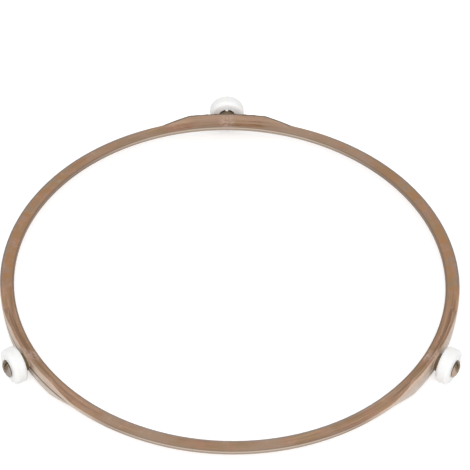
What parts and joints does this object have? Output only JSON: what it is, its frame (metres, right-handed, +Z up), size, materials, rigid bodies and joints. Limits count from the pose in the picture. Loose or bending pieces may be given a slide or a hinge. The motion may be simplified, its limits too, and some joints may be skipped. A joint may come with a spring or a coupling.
{
  "type": "microwave roller ring",
  "caption": "Flat brown plastic ring with upright seats round its rim, each carrying a free-turning white roller; it supports and guides a microwave oven's glass turntable.",
  "frame": {"origin": "on the ring's axis, in the plane of the track that the rollers run on", "axes": "+Z up along the ring's axis, +Y from the axis towards roller_1"},
  "size_m": [0.19, 0.1993, 0.015],
  "materials": {
    "brown_plastic": "satin, heat-resistant, faint flow streaks",
    "white_plastic": "smooth, low gloss"
  },
  "bodies": {
    "ring": {"ring": "brown_plastic"},
    "roller_1": {"roller_1": "white_plastic"},
    "roller_2": {"roller_2": "white_plastic"},
    "roller_3": {"roller_3": "white_plastic"}
  },
  "joints": [
    {"name": "roller_1_spin", "type": "hinge", "parent": "ring", "child": "roller_1", "pos_m": [0, 0.1001, 0.0075], "axis": [0, 1, 0], "continuous": true},
    {"name": "roller_2_spin", "type": "hinge", "parent": "ring", "child": "roller_2", "pos_m": [-0.08669, -0.05005, 0.0075], "axis": [-0.866, -0.5, 0], "continuous": true},
    {"name": "roller_3_spin", "type": "hinge", "parent": "ring", "child": "roller_3", "pos_m": [0.08669, -0.05005, 0.0075], "axis": [0.866, -0.5, 0], "continuous": true}
  ]
}
